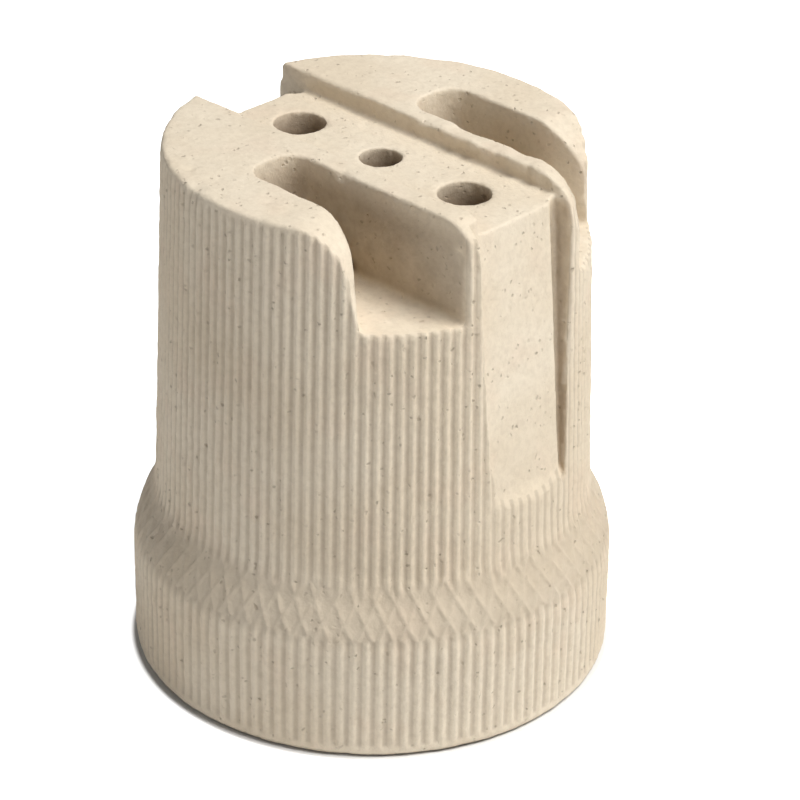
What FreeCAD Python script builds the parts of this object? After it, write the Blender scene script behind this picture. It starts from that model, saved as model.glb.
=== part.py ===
import FreeCAD, Part
import math
import os
import Sketcher

# An E27 screw lamp holder with a ribbed, unglazed ceramic body, standing on the rim of its mouth.
# Millimetres. Z is up, away from the lamp. The origin is the centre of the mouth's rim, on the
# surface that the holder stands on. X runs along the bracket channel, towards the side where the
# two wire slots come out. The slot at -Y carries the centre contact's terminal, the slot at +Y
# carries the screw shell's.

SIZES = [
    # outside of the ceramic
    ("body_height", 53.4, "whole height, rim to top"),
    ("rim_radius", 23.5, "rim, at the crests of its ribs"),
    ("rim_height", 10.8, "straight part of the rim"),
    ("flare_top", 19.7, "height where the flare meets the body"),
    ("waist_radius", 21.2, "body radius just above the flare"),
    ("top_radius", 20.1, "body radius at the top"),
    ("edge_bevel", 0.4, "bevel of the rim's foot and of the top edge"),
    # moulded ribs, round the rim and round the body
    ("rib_count", 120, "number of ribs, on the rim and on the body alike"),
    ("rib_depth", 0.25, "depth of the grooves between the ribs"),
    ("rib_share", 0.35, "half width of a groove, as a share of the ribs' pitch"),
    ("rib_foot", 1.2, "height where the rim's grooves start"),
    ("rib_stop", 10.7, "height where the rim's grooves end, under the flare"),
    ("rib_start", 19.8, "height where the body's grooves start, above the flare"),
    # inside of the ceramic
    ("mouth_radius", 18.7, "mouth, where the lamp's neck enters"),
    ("mouth_depth", 9.0, "straight part of the mouth"),
    ("throat_height", 13.0, "height where the mouth has narrowed to the bore"),
    ("bore_gap", 0.85, "gap between the thread's roots and the bore's wall"),
    ("bridge", 7.5, "ceramic between the slots' floor and the bore's roof"),
    # bracket channel, its three holes and the two recesses for the bracket's legs
    ("channel_depth", 2.05, "depth of the bracket channel"),
    ("channel_near", 4.9, "channel wall at -Y, from the axis"),
    ("channel_far", 6.1, "channel wall at +Y, from the axis"),
    ("hole_pitch", 10.7, "distance of each bracket hole from the middle hole"),
    ("hole_across", 0.5, "distance of the row of three holes from the axis"),
    ("hole_radius", 2.5, "bracket holes"),
    ("vent_radius", 2.05, "middle hole"),
    ("leg_top", 17.6, "leg recess at +X: distance from the axis at the channel's floor"),
    ("leg_top_behind", 16.4, "leg recess at -X: distance from the axis at the channel's floor"),
    ("leg_foot", 20.1, "both leg recesses: distance from the axis at the foot"),
    ("leg_foot_height", 25.0, "height of the recesses' foot, where they start to run out"),
    ("leg_run_out", 2.4, "height that a recess takes to run out to the surface"),
    ("leg_near", 5.3, "front leg recess wall at -Y, from the axis"),
    ("leg_far", 5.5, "leg recess walls at +Y, from the axis"),
    # wire slots
    ("slot_width", 6.1, "width of each wire slot"),
    ("slot_near", 7.4, "inner wall of the slot at -Y, from the axis"),
    ("slot_far", 8.0, "inner wall of the slot at +Y, from the axis"),
    ("washer_gap", 0.1, "gap between a clamp washer and the closed end of its slot"),
    ("slot_corner", 2.4, "corner radius of a slot's closed end"),
    ("slot_depth", 9.9, "depth of the slots, from the top"),
    ("slot_flare_start", 6.5, "where a slot's outer wall starts to curve outwards"),
    ("slot_flare_radius", 11.7, "radius of that curve"),
    # rolled ends of the lands beside the slots' mouths
    ("horn_roll", 6.2, "roll radius of the two crescents' ends"),
    ("horn_reach", 11.7, "how far the crescents reach along X, under that roll"),
    ("horn_lean", 1.5, "how much further they reach at the slots' floor"),
    ("ridge_roll", 6.2, "roll radius of the end of the ridge at +Y"),
    ("ridge_reach", 18.9, "how far that ridge reaches along X"),
    ("land_roll", 4.8, "roll radius of the end of the land at -Y"),
    ("land_reach", 19.8, "how far that land would reach along X"),
    # screw shell
    ("thread_pitch", 3.629, "pitch of the E27 thread"),
    ("thread_depth", 1.05, "depth of the thread's waves"),
    ("thread_major", 13.25, "inner radius of the shell at its roots"),
    ("thread_flat", 0.9, "height of each crest and each root"),
    ("shell_sheet", 0.3, "thickness of the shell's sheet"),
    ("shell_length", 21.7, "length of the shell, from the roof to its lower edge"),
    ("neck_gap", 0.9, "gap between the shell's plain neck and the bore's wall"),
    ("notch_height", 3.4, "height of the gap in the neck"),
    ("foot_width", 6.4, "width of the shell's foot"),
    ("foot_reach", 7.0, "distance from the axis to the foot's inner end"),
    ("notch_width", 11.0, "gap in the neck round the centre contact's foot"),
    # centre contact
    ("leaf_sheet", 0.5, "thickness of the contact spring"),
    ("leaf_width", 5.0, "width of the contact spring"),
    ("leaf_drop", 4.5, "how far the spring's tip hangs under the roof"),
    ("leaf_tip", 2.3, "half length of the spring's flat tip"),
    ("leaf_heel", 2.7, "spring's foot, each way from its screw"),
    ("button_radius", 2.3, "contact button's head"),
    ("button_height", 1.1, "height of the button's head"),
    ("button_shank", 1.0, "radius of the button's shank"),
    ("button_tail", 1.6, "radius of the button's riveted tail"),
    ("tail_height", 0.45, "height of the riveted tail"),
    # terminals and screws
    ("plate_thickness", 1.5, "terminal plates"),
    ("plate_reach", 4.7, "end of the terminal plates, towards the slots' mouths"),
    ("plate_gap", 0.25, "gap between a terminal plate and its slot's walls"),
    ("fixing_along", 2.7, "fixing screws: place along X"),
    ("fixing_near", 9.5, "fixing screw at -Y, from the axis"),
    ("fixing_far", 9.8, "fixing screw at +Y, from the axis"),
    ("clamp_along", 1.1, "clamp screws: place on the -X side of the axis"),
    ("screw_radius", 1.45, "shank of every screw"),
    ("thread_gap", 0.05, "gap between a screw and its thread"),
    ("fixing_gap", 0.25, "gap between a fixing screw and its hole through the ceramic"),
    ("fixing_shoulder", 0.95, "how far a fixing screw's head stands out from its shank"),
    ("head_height", 1.8, "height of a screw's head"),
    ("clamp_shoulder", 1.05, "how far a clamp screw's head stands out from its shank"),
    ("head_bevel", 0.4, "bevel of a screw head's upper edge"),
    ("drive_width", 0.8, "width of the screwdriver slots"),
    ("drive_depth", 0.9, "depth of the screwdriver slots"),
    ("clamp_length", 4.9, "clamp screw, under its head"),
    ("well_gap", 0.55, "gap between a clamp screw and the well under it"),
    ("well_depth", 3.4, "depth of that well"),
    ("washer_border", 0.1, "how far a clamp washer stands out from the screw's head"),
    ("washer_thickness", 0.8, "clamp washers"),
    ("screw_recess", 0.1, "how far a fixing screw ends below its terminal plate's top"),
    ("overcut", 2.0, "how far a cut runs past the surface that it opens"),
]


class Measure:
    """A length, kept both as a number and as the expression that binds it to the sheet."""

    def __init__(self, text, value):
        self.text = text
        self.value = value

    @staticmethod
    def of(other):
        if isinstance(other, Measure):
            return other
        return Measure(repr(float(other)), float(other))

    def __add__(self, other):
        other = Measure.of(other)
        return Measure(f"({self.text} + {other.text})", self.value + other.value)

    def __sub__(self, other):
        other = Measure.of(other)
        return Measure(f"({self.text} - {other.text})", self.value - other.value)

    def __mul__(self, other):
        other = Measure.of(other)
        return Measure(f"({self.text} * {other.text})", self.value * other.value)

    def __truediv__(self, other):
        other = Measure.of(other)
        return Measure(f"({self.text} / {other.text})", self.value / other.value)

    def __neg__(self):
        return Measure(f"(0 - {self.text})", -self.value)

    def root(self):
        return Measure(f"sqrt({self.text})", math.sqrt(self.value))


ZERO = Measure("0", 0.0)

doc = FreeCAD.newDocument("lamp_holder")
sheet = doc.addObject("Spreadsheet::Sheet", "Sizes")
size = {}
for row, (alias, value, note) in enumerate(SIZES, start=1):
    sheet.set(f"A{row}", note)
    sheet.set(f"B{row}", str(value))
    sheet.setAlias(f"B{row}", alias)
    size[alias] = Measure(f"Sizes.{alias}", value)


def derive(alias, measure, note):
    """A size that follows from others: a formula in the sheet in place of a number."""
    row = len(size) + 1
    sheet.set(f"A{row}", note)
    sheet.set(f"B{row}", "=" + measure.text.replace("Sizes.", ""))
    sheet.setAlias(f"B{row}", alias)
    size[alias] = Measure(f"Sizes.{alias}", measure.value)


derive("thread_minor", size["thread_major"] - size["thread_depth"],
       "inner radius of the shell at its crests")
derive("bore_radius", size["thread_major"] + size["shell_sheet"] + size["bore_gap"],
       "bore that holds the screw shell")
derive("neck_radius", size["bore_radius"] - size["neck_gap"] - size["shell_sheet"],
       "inner radius of the plain neck above the thread")
derive("slot_floor", size["body_height"] - size["slot_depth"], "height of the slots' floor")
derive("roof_height", size["slot_floor"] - size["bridge"],
       "roof of the bore, where the metal parts are seated")
derive("shell_mouth", size["roof_height"] - size["shell_length"], "height of the shell's lower edge")
derive("fixing_hole", size["screw_radius"] + size["fixing_gap"], "fixing holes through the ceramic")
derive("fixing_head", size["screw_radius"] + size["fixing_shoulder"], "fixing screws' heads")
derive("clamp_head", size["screw_radius"] + size["clamp_shoulder"], "clamp screws' heads")
derive("clamp_well", size["screw_radius"] + size["well_gap"], "wells under the clamp screws")
derive("washer_radius", size["clamp_head"] + size["washer_border"], "clamp washers")
derive("slot_end", size["clamp_along"] + size["washer_radius"] + size["washer_gap"],
       "closed end of both slots, on the -X side of the axis")
doc.recompute()


# ---------------------------------------------------------------- sketches and features

def new_body(label):
    body = doc.addObject("PartDesign::Body", label)
    body.Label = label
    return body


def origin_feature(body, role):
    for feature in body.Origin.OriginFeatures:
        if feature.Role == role:
            return feature
    raise ValueError(role)


def sketch_on(body, role, name, offset=None):
    """A sketch on one of the body's origin planes, moved along the plane's normal by offset."""
    sketch = body.newObject("Sketcher::SketchObject", name)
    sketch.AttachmentSupport = [(origin_feature(body, role), "")]
    sketch.MapMode = "FlatFace"
    if offset is not None:
        sketch.setExpression("AttachmentOffset.Base.z", offset.text)
    return sketch


def bind(sketch, constraint, measure):
    index = sketch.addConstraint(constraint)
    sketch.setExpression(f"Constraints[{index}]", measure.text)


def place_point(sketch, geometry, position, point):
    across, up = point
    bind(sketch, Sketcher.Constraint("DistanceX", -1, 1, geometry, position, across.value), across)
    bind(sketch, Sketcher.Constraint("DistanceY", -1, 1, geometry, position, up.value), up)


def arc_between(start, end, radius, side):
    """Arc from start to end whose centre lies to the left (+1) or to the right (-1) of the way."""
    ax, ay = start[0].value, start[1].value
    bx, by = end[0].value, end[1].value
    chord = math.hypot(bx - ax, by - ay)
    rise = math.sqrt(max(radius.value ** 2 - chord ** 2 / 4, 0.0))
    cx = (ax + bx) / 2 - side * rise * (by - ay) / chord
    cy = (ay + by) / 2 + side * rise * (bx - ax) / chord
    circle = Part.Circle(FreeCAD.Vector(cx, cy, 0), FreeCAD.Vector(0, 0, 1), radius.value)
    first = math.atan2(ay - cy, ax - cx)
    last = math.atan2(by - cy, bx - cx)
    if side < 0:
        first, last = last, first
    return Part.ArcOfCircle(circle, first, last)


def outline(sketch, points, arcs=None):
    """A closed outline. arcs maps a point's number to the radius and side of the arc that
    leaves it; every other stretch is straight."""
    arcs = arcs or {}
    ends = []
    for number, start in enumerate(points):
        end = points[(number + 1) % len(points)]
        if number in arcs:
            radius, side = arcs[number]
            geometry = sketch.addGeometry(arc_between(start, end, radius, side))
            ends.append((geometry, 1, 2) if side > 0 else (geometry, 2, 1))
        else:
            a = FreeCAD.Vector(start[0].value, start[1].value, 0)
            b = FreeCAD.Vector(end[0].value, end[1].value, 0)
            ends.append((sketch.addGeometry(Part.LineSegment(a, b)), 1, 2))
    for number, (geometry, first, last) in enumerate(ends):
        following = ends[(number + 1) % len(ends)]
        sketch.addConstraint(Sketcher.Constraint("Coincident", geometry, last, following[0], following[1]))
        place_point(sketch, geometry, first, points[number])
        if number in arcs:
            radius = arcs[number][0]
            bind(sketch, Sketcher.Constraint("Radius", geometry, radius.value), radius)


def circle(sketch, centre, radius):
    middle = FreeCAD.Vector(centre[0].value, centre[1].value, 0)
    geometry = sketch.addGeometry(Part.Circle(middle, FreeCAD.Vector(0, 0, 1), radius.value))
    place_point(sketch, geometry, 3, centre)
    bind(sketch, Sketcher.Constraint("Radius", geometry, radius.value), radius)


def turn(body, kind, sketch, name):
    """A Revolution or a Groove of the sketch, right round the Z axis."""
    feature = body.newObject(f"PartDesign::{kind}", name)
    feature.Profile = sketch
    feature.ReferenceAxis = (sketch, ["V_Axis"])
    feature.Angle = 360
    sketch.Visibility = False
    doc.recompute()
    return feature


def extrude(body, kind, sketch, name, length, middle=False, backwards=False):
    """A Pad or a Pocket of the sketch."""
    feature = body.newObject(f"PartDesign::{kind}", name)
    feature.Profile = sketch
    feature.setExpression("Length", length.text)
    feature.Midplane = middle
    feature.Reversed = backwards
    sketch.Visibility = False
    doc.recompute()
    return feature


def repeat_round(body, feature, sketch, name):
    """The feature again at every rib's place round the Z axis."""
    pattern = body.newObject("PartDesign::PolarPattern", name)
    pattern.Originals = [feature]
    pattern.Axis = (sketch, ["N_Axis"])
    pattern.Angle = 360
    pattern.setExpression("Occurrences", size["rib_count"].text)
    body.Tip = pattern
    doc.recompute()
    return pattern


def square_outline(left, right, low, high):
    return [(left, low), (right, low), (right, high), (left, high)]


# ---------------------------------------------------------------- ceramic body

def outer_profile(sketch):
    """Half section of the outside: bevelled foot, straight rim, S-shaped flare, tapered body."""
    edge = size["edge_bevel"]
    height = size["body_height"]
    rim = size["rim_radius"]
    waist = size["waist_radius"]
    top = size["top_radius"]
    low = size["rim_height"]
    high = size["flare_top"]
    half_step = (rim - waist) / 2
    half_rise = (high - low) / 2
    flare = (half_step * half_step + half_rise * half_rise) / (half_step * 2)
    points = [
        (ZERO, ZERO),
        (rim - edge, ZERO),
        (rim, edge),
        (rim, low),
        (rim - half_step, low + half_rise),
        (waist, high),
        (top, height - edge),
        (top - edge, height),
        (ZERO, height),
    ]
    outline(sketch, points, {3: (flare, 1), 4: (flare, -1)})


def cavity_profile(sketch):
    """Half section of the lamp's side: mouth, narrowing throat, bore and flat roof."""
    mouth = size["mouth_radius"]
    bore = size["bore_radius"]
    below = -size["overcut"]
    outline(sketch, [
        (ZERO, below),
        (mouth, below),
        (mouth, size["mouth_depth"]),
        (bore, size["throat_height"]),
        (bore, size["roof_height"]),
        (ZERO, size["roof_height"]),
    ])


def slot_outline(sketch, inner, side):
    """Plan of a wire slot. Its outer wall curves outwards before it reaches the side of the
    body. side is -1 for the slot at -Y and +1 for the slot at +Y."""
    way = Measure.of(side)
    end = -size["slot_end"]
    corner = size["slot_corner"]
    outer = inner + size["slot_width"]
    start = size["slot_flare_start"]
    curve = size["slot_flare_radius"]
    past = size["rim_radius"] + size["overcut"]
    reach = curve * 0.7
    swing = curve - (curve * curve - reach * reach).root()
    points = [
        (end + corner, way * inner),
        (past, way * inner),
        (past, way * (outer + swing)),
        (start + reach, way * (outer + swing)),
        (start, way * outer),
        (end + corner, way * outer),
        (end, way * (outer - corner)),
        (end, way * (inner + corner)),
    ]
    arcs = {3: (curve, -side), 5: (corner, side), 7: (corner, side)}
    outline(sketch, points, arcs)


def leg_recess_profile(sketch, side, leg_top):
    """Side view of the sloping recess that a bracket's leg lies in. side is +1 at +X."""
    way = Measure.of(side)
    top = size["body_height"] + size["overcut"]
    out = size["rim_radius"] + size["overcut"]
    foot = size["leg_foot"]
    foot_height = size["leg_foot_height"]
    run_out = foot_height - size["leg_run_out"]
    channel_floor = size["body_height"] - size["channel_depth"]
    slope = (foot - leg_top) / (channel_floor - foot_height)
    outline(sketch, [
        (way * (leg_top - slope * (top - channel_floor)), top),
        (way * foot, foot_height),
        (way * (size["waist_radius"] + size["edge_bevel"]), run_out),
        (way * out, run_out),
        (way * out, top),
    ])


def roll_profile(sketch, reach, radius, lean=None):
    """What a rolled-down end takes off: everything above and outside a quarter circle. With
    a lean, the end runs on from there to the slots' floor, a little further out."""
    height = size["body_height"]
    top = height + size["overcut"]
    out = size["rim_radius"] + size["overcut"]
    points = [(reach - radius, height), (reach, height - radius)]
    if lean is None:
        points += [(out, height - radius)]
    else:
        points += [(reach + lean, size["slot_floor"]), (out, size["slot_floor"])]
    points += [(out, top), (reach - radius, top)]
    outline(sketch, points, {0: (radius, -1)})


def groove_section(sketch, radius):
    """Section of one groove between two ribs, at the outside radius where it is cut."""
    depth = size["rib_depth"]
    half = radius * (2 * math.pi) / size["rib_count"] * size["rib_share"]
    outline(sketch, [
        (radius - depth, ZERO),
        (radius + depth, -half * 2),
        (radius + depth, half * 2),
    ])


def make_ribs(body):
    """Grooves cut side by side all round leave the ribs: first the rim's, then the body's,
    which lean inwards with its taper."""
    sketch = sketch_on(body, "XY_Plane", "RimGroovePlan", size["rib_stop"])
    groove_section(sketch, size["rim_radius"])
    groove = extrude(body, "Pocket", sketch, "RimGroove", size["rib_stop"] - size["rib_foot"])
    repeat_round(body, groove, sketch, "RimRibs")

    fall = size["waist_radius"] - size["top_radius"]
    rise = size["body_height"] - size["flare_top"]
    sketch = sketch_on(body, "XY_Plane", "BodyGroovePlan", size["body_height"])
    groove_section(sketch, size["top_radius"])
    groove = extrude(body, "Pocket", sketch, "BodyGroove", size["body_height"] - size["rib_start"])
    groove.UseCustomVector = True
    groove.AlongSketchNormal = True
    groove.setExpression("Direction.x", fall.text)
    groove.setExpression("Direction.z", (-rise).text)
    repeat_round(body, groove, sketch, "BodyRibs")


def make_ceramic_body():
    body = new_body("ceramic_body")
    height = size["body_height"]
    floor = size["slot_floor"]
    roof = size["roof_height"]
    past = size["rim_radius"] + size["overcut"]

    sketch = sketch_on(body, "XZ_Plane", "OuterProfile")
    outer_profile(sketch)
    turn(body, "Revolution", sketch, "Outside")

    sketch = sketch_on(body, "XZ_Plane", "CavityProfile")
    cavity_profile(sketch)
    turn(body, "Groove", sketch, "Cavity")

    sketch = sketch_on(body, "XY_Plane", "ChannelPlan", height)
    outline(sketch, square_outline(-past, past, -size["channel_near"], size["channel_far"]))
    extrude(body, "Pocket", sketch, "Channel", size["channel_depth"])

    for name, inner, side in (("Near", size["slot_near"], -1), ("Far", size["slot_far"], 1)):
        sketch = sketch_on(body, "XY_Plane", f"{name}SlotPlan", height)
        slot_outline(sketch, inner, side)
        extrude(body, "Pocket", sketch, f"{name}Slot", height - floor)

    legs = [
        ("Front", 1, size["leg_top"], size["leg_near"]),
        ("Back", -1, size["leg_top_behind"], size["channel_near"]),
    ]
    for name, side, leg_top, near in legs:
        sketch = sketch_on(body, "XZ_Plane", f"{name}LegProfile", -size["leg_far"])
        leg_recess_profile(sketch, side, leg_top)
        extrude(body, "Pocket", sketch, f"{name}LegRecess", near + size["leg_far"], backwards=True)

    near_middle = size["slot_near"] + size["slot_width"] / 2
    far_middle = size["slot_far"] + size["slot_width"] / 2
    horn = size["horn_reach"], size["horn_roll"], size["horn_lean"]
    land = size["land_reach"], size["land_roll"]
    ridge = size["ridge_reach"], size["ridge_roll"]
    rolls = [
        ("NearHorn", near_middle, past, horn, True),
        ("Land", ZERO, near_middle, land, True),
        ("Ridge", ZERO, far_middle, ridge, False),
        ("FarHorn", -far_middle, past, horn, False),
    ]
    for name, offset, length, roll, outwards in rolls:
        sketch = sketch_on(body, "XZ_Plane", f"{name}Roll", offset)
        roll_profile(sketch, *roll)
        extrude(body, "Pocket", sketch, f"{name}End", length, backwards=outwards)

    sketch = sketch_on(body, "XY_Plane", "BracketHoles", height)
    across = size["hole_across"]
    circle(sketch, (-size["hole_pitch"], across), size["hole_radius"])
    circle(sketch, (ZERO, across), size["vent_radius"])
    circle(sketch, (size["hole_pitch"], across), size["hole_radius"])
    extrude(body, "Pocket", sketch, "Holes", height - roof + size["overcut"])

    sketch = sketch_on(body, "XY_Plane", "FixingHolePlan", floor)
    circle(sketch, (size["fixing_along"], -size["fixing_near"]), size["fixing_hole"])
    circle(sketch, (size["fixing_along"], size["fixing_far"]), size["fixing_hole"])
    extrude(body, "Pocket", sketch, "FixingHoles", floor - roof + size["overcut"])

    sketch = sketch_on(body, "XY_Plane", "WellPlan", floor)
    circle(sketch, (-size["clamp_along"], -near_middle), size["clamp_well"])
    circle(sketch, (-size["clamp_along"], far_middle), size["clamp_well"])
    extrude(body, "Pocket", sketch, "ClampWells", size["well_depth"])

    make_ribs(body)
    return body


# ---------------------------------------------------------------- screw shell

THREAD_TURNS = 4


def shell_profile(sketch):
    """Half section of the rolled sheet: the thread's waves below, a plain neck under the roof."""
    sheet_size = size["shell_sheet"]
    minor = size["thread_minor"]
    major = size["thread_major"]
    pitch = size["thread_pitch"]
    flat = size["thread_flat"]
    low = size["shell_mouth"]
    neck = size["neck_radius"]
    inner = []
    for turn_number in range(THREAD_TURNS):
        base = low + pitch * turn_number
        inner.append((major, base))
        inner.append((major, base + flat))
        inner.append((minor, base + pitch / 2))
        inner.append((minor, base + pitch / 2 + flat))
    inner.append((neck, low + pitch * THREAD_TURNS))
    inner.append((neck, size["roof_height"]))
    outer = [(radius + sheet_size, height) for radius, height in reversed(inner)]
    outline(sketch, inner + outer)


def make_screw_shell():
    body = new_body("screw_shell")
    roof = size["roof_height"]
    sheet_size = size["shell_sheet"]
    sketch = sketch_on(body, "XZ_Plane", "ShellProfile")
    shell_profile(sketch)
    turn(body, "Revolution", sketch, "RolledSheet")

    notch = size["notch_width"] / 2
    past = size["bore_radius"]
    sketch = sketch_on(body, "XY_Plane", "NotchPlan", roof)
    outline(sketch, square_outline(size["fixing_along"] - notch, size["fixing_along"] + notch, -past, ZERO))
    extrude(body, "Pocket", sketch, "Notch", size["notch_height"])

    half = size["foot_width"] / 2
    middle = size["fixing_along"]
    wall = size["neck_radius"] + sheet_size / 2
    sketch = sketch_on(body, "XY_Plane", "FootPlan", roof - sheet_size)
    left, right = middle - half, middle + half
    outline(sketch, [
        (left, size["foot_reach"]),
        (right, size["foot_reach"]),
        (right, (wall * wall - right * right).root()),
        (left, (wall * wall - left * left).root()),
    ], {2: (wall, 1)})
    extrude(body, "Pad", sketch, "Foot", sheet_size)

    sketch = sketch_on(body, "XY_Plane", "FootHolePlan", roof)
    circle(sketch, (middle, size["fixing_far"]), size["screw_radius"] + size["thread_gap"])
    extrude(body, "Pocket", sketch, "FootHole", sheet_size * 2)
    return body


# ---------------------------------------------------------------- centre contact

def leaf_profile(sketch):
    """Side view of the contact spring: foot on the roof, slope, flat tip over the axis.
    Along the sketch's X axis runs the distance from the lamp's axis."""
    roof = size["roof_height"]
    sheet_size = size["leaf_sheet"]
    reach = fixing_reach()
    heel = reach + size["leaf_heel"]
    knee = reach - size["leaf_heel"]
    tip = size["leaf_tip"]
    low = roof - size["leaf_drop"]
    outline(sketch, [
        (heel, roof - sheet_size),
        (heel, roof),
        (knee, roof),
        (tip, low),
        (-tip, low),
        (-tip, low - sheet_size),
        (tip, low - sheet_size),
        (knee, roof - sheet_size),
    ])


def fixing_reach():
    """Distance from the axis to the centre contact's fixing screw."""
    along = size["fixing_along"]
    across = size["fixing_near"]
    return (along * along + across * across).root()


def turn_towards_fixing(body):
    """The contact spring is drawn along X, and lies along the line to its fixing screw."""
    angle = f"atan2(0 - {size['fixing_near'].text}; {size['fixing_along'].text})"
    body.setExpression("Placement.Rotation.Angle", angle)


def make_centre_contact():
    body = new_body("centre_contact")
    roof = size["roof_height"]
    sketch = sketch_on(body, "XZ_Plane", "LeafProfile")
    leaf_profile(sketch)
    extrude(body, "Pad", sketch, "Leaf", size["leaf_width"], middle=True)
    sketch = sketch_on(body, "XY_Plane", "LeafHolePlan", roof)
    circle(sketch, (fixing_reach(), ZERO), size["screw_radius"] + size["thread_gap"])
    circle(sketch, (ZERO, ZERO), size["button_shank"] + size["thread_gap"])
    extrude(body, "Pocket", sketch, "LeafHoles", size["leaf_drop"] + size["leaf_sheet"] * 2)
    turn_towards_fixing(body)
    return body


def make_contact_button():
    """A domed rivet: head under the spring, shank through it, tail spread above it."""
    body = new_body("contact_button")
    under = size["roof_height"] - size["leaf_drop"] - size["leaf_sheet"]
    over = size["roof_height"] - size["leaf_drop"]
    head = size["button_radius"]
    height = size["button_height"]
    rim = height / 4
    dome_rise = height - rim
    dome = (head * head + dome_rise * dome_rise) / (dome_rise * 2)
    tail = size["button_tail"]
    shank = size["button_shank"]
    top = over + size["tail_height"]
    sketch = sketch_on(body, "XZ_Plane", "ButtonProfile")
    outline(sketch, [
        (ZERO, under - height),
        (head, under - rim),
        (head, under),
        (shank, under),
        (shank, over),
        (tail, over),
        (tail * 0.8, top),
        (ZERO, top),
    ], {0: (dome, 1)})
    turn(body, "Revolution", sketch, "Rivet")
    return body


# ---------------------------------------------------------------- terminals and screws

def make_terminal(label, inner, side, fixing):
    """A terminal plate on its slot's floor, threaded for the fixing and clamp screws."""
    body = new_body(label)
    way = Measure.of(side)
    gap = size["plate_gap"]
    near = inner + gap
    far = inner + size["slot_width"] - gap
    middle = inner + size["slot_width"] / 2
    end = gap - size["slot_end"]
    corner = size["slot_corner"]
    reach = size["plate_reach"]
    floor = size["slot_floor"]
    sketch = sketch_on(body, "XY_Plane", "PlatePlan", floor)
    outline(sketch, [
        (end + corner, way * near),
        (reach, way * near),
        (reach, way * far),
        (end + corner, way * far),
        (end, way * (far - corner)),
        (end, way * (near + corner)),
    ], {3: (corner, side), 5: (corner, side)})
    extrude(body, "Pad", sketch, "Plate", size["plate_thickness"])
    sketch = sketch_on(body, "XY_Plane", "PlateHoles", floor + size["plate_thickness"])
    thread = size["screw_radius"] + size["thread_gap"]
    circle(sketch, (size["fixing_along"], way * fixing), thread)
    circle(sketch, (-size["clamp_along"], way * middle), thread)
    extrude(body, "Pocket", sketch, "Threads", size["plate_thickness"] + size["overcut"])
    return body


def screw_profile(sketch, head, length, up):
    """Half section of a cheese-head screw, seat at zero. up is +1 if the head is above."""
    way = Measure.of(up)
    edge = size["head_bevel"]
    tall = size["head_height"]
    shank = size["screw_radius"]
    lead = shank / 4
    outline(sketch, [
        (ZERO, way * tall),
        (head - edge, way * tall),
        (head, way * (tall - edge)),
        (head, ZERO),
        (shank, ZERO),
        (shank, way * (lead - length)),
        (shank - lead, -way * length),
        (ZERO, -way * length),
    ])


def make_screw(label, place, head, length, up):
    """A slotted screw whose head's seat is at place."""
    body = new_body(label)
    sketch = sketch_on(body, "XZ_Plane", "ScrewProfile")
    screw_profile(sketch, head, length, up)
    turn(body, "Revolution", sketch, "Turned")
    half = size["drive_width"] / 2
    tall = size["head_height"] * up
    sketch = sketch_on(body, "XY_Plane", "DrivePlan", tall)
    outline(sketch, square_outline(-head * 2, head * 2, -half, half))
    extrude(body, "Pocket", sketch, "Drive", size["drive_depth"], backwards=(up < 0))
    seat_at(body, place)
    return body


def make_washer(label, place):
    """A round clamp washer with a bevelled upper edge."""
    body = new_body(label)
    radius = size["washer_radius"]
    thick = size["washer_thickness"]
    hole = size["screw_radius"] + size["thread_gap"]
    bevel = thick / 4
    sketch = sketch_on(body, "XZ_Plane", "WasherProfile")
    outline(sketch, [
        (hole, ZERO),
        (radius, ZERO),
        (radius, thick - bevel),
        (radius - bevel, thick),
        (hole, thick),
    ])
    turn(body, "Revolution", sketch, "Washer")
    seat_at(body, place)
    return body


def seat_at(body, place):
    for axis, measure in zip("xyz", place):
        body.setExpression(f"Placement.Base.{axis}", measure.text)


# ---------------------------------------------------------------- assembly

def make_parts():
    roof = size["roof_height"]
    floor = size["slot_floor"]
    plate_top = floor + size["plate_thickness"]
    along = size["fixing_along"]
    near_middle = size["slot_near"] + size["slot_width"] / 2
    far_middle = size["slot_far"] + size["slot_width"] / 2
    shell_seat = roof - size["shell_sheet"]
    contact_seat = roof - size["leaf_sheet"]
    recess = size["screw_recess"]
    near_clamp = (-size["clamp_along"], -near_middle, plate_top + size["washer_thickness"])
    far_clamp = (-size["clamp_along"], far_middle, plate_top + size["washer_thickness"])
    clamp_head = size["clamp_head"]
    clamp_length = size["clamp_length"]
    fixing_head = size["fixing_head"]
    return [
        make_ceramic_body(),
        make_screw_shell(),
        make_centre_contact(),
        make_contact_button(),
        make_terminal("shell_terminal", size["slot_far"], 1, size["fixing_far"]),
        make_terminal("contact_terminal", size["slot_near"], -1, size["fixing_near"]),
        make_screw("shell_fixing_screw", (along, size["fixing_far"], shell_seat), fixing_head,
                   plate_top - recess - shell_seat, -1),
        make_screw("contact_fixing_screw", (along, -size["fixing_near"], contact_seat), fixing_head,
                   plate_top - recess - contact_seat, -1),
        make_screw("shell_clamp_screw", far_clamp, clamp_head, clamp_length, 1),
        make_screw("contact_clamp_screw", near_clamp, clamp_head, clamp_length, 1),
        make_washer("shell_clamp_washer", (-size["clamp_along"], far_middle, plate_top)),
        make_washer("contact_clamp_washer", (-size["clamp_along"], -near_middle, plate_top)),
    ]


parts = make_parts()
doc.recompute()

for item in doc.Objects:
    bad = [state for state in item.State if state in ("Invalid", "Error")]
    if bad:
        raise RuntimeError(f"{item.Name} did not compute: {bad}")
for part in parts:
    if part.Shape.isNull() or not part.Shape.isValid():
        raise RuntimeError(f"{part.Label} has no valid shape")

os.makedirs("parts", exist_ok=True)
for part in parts:
    part.Shape.exportStep(f"parts/{part.Label}.step")
    box = part.Shape.BoundBox
    print(f"{part.Label}: {len(part.Shape.Solids)} solid, {part.Shape.Volume:.1f} mm3, "
          f"z {box.ZMin:.2f} to {box.ZMax:.2f}")
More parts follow.
